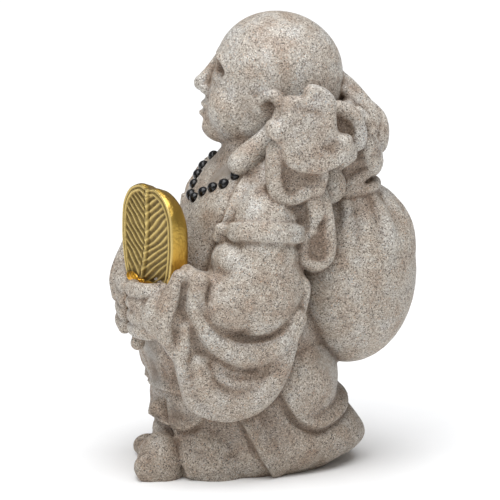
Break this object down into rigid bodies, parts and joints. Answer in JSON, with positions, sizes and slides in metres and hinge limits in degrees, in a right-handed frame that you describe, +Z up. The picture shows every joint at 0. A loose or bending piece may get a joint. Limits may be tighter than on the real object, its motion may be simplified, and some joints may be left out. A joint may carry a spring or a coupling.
{
  "type": "monk statue",
  "caption": "Stout monk figure cast in sandy resin, standing with a palm-leaf fan before the belly and a tied sack at the back.",
  "frame": {"origin": "on the flat underside, below the middle of the body", "axes": "+Z up through the crown, -Y the way the chest faces, +X to the figure's left, the side of the fan hand and the sack's mouth"},
  "size_m": [0.0798, 0.0996, 0.1498],
  "materials": {
    "sandy_resin": "fine sand set in clear resin, grainy and nearly matt",
    "gold_paint": "antique gold paint, satin",
    "black_paint": "gloss black paint"
  },
  "bodies": {
    "root": {"statue": "sandy_resin"}
  },
  "joints": []
}
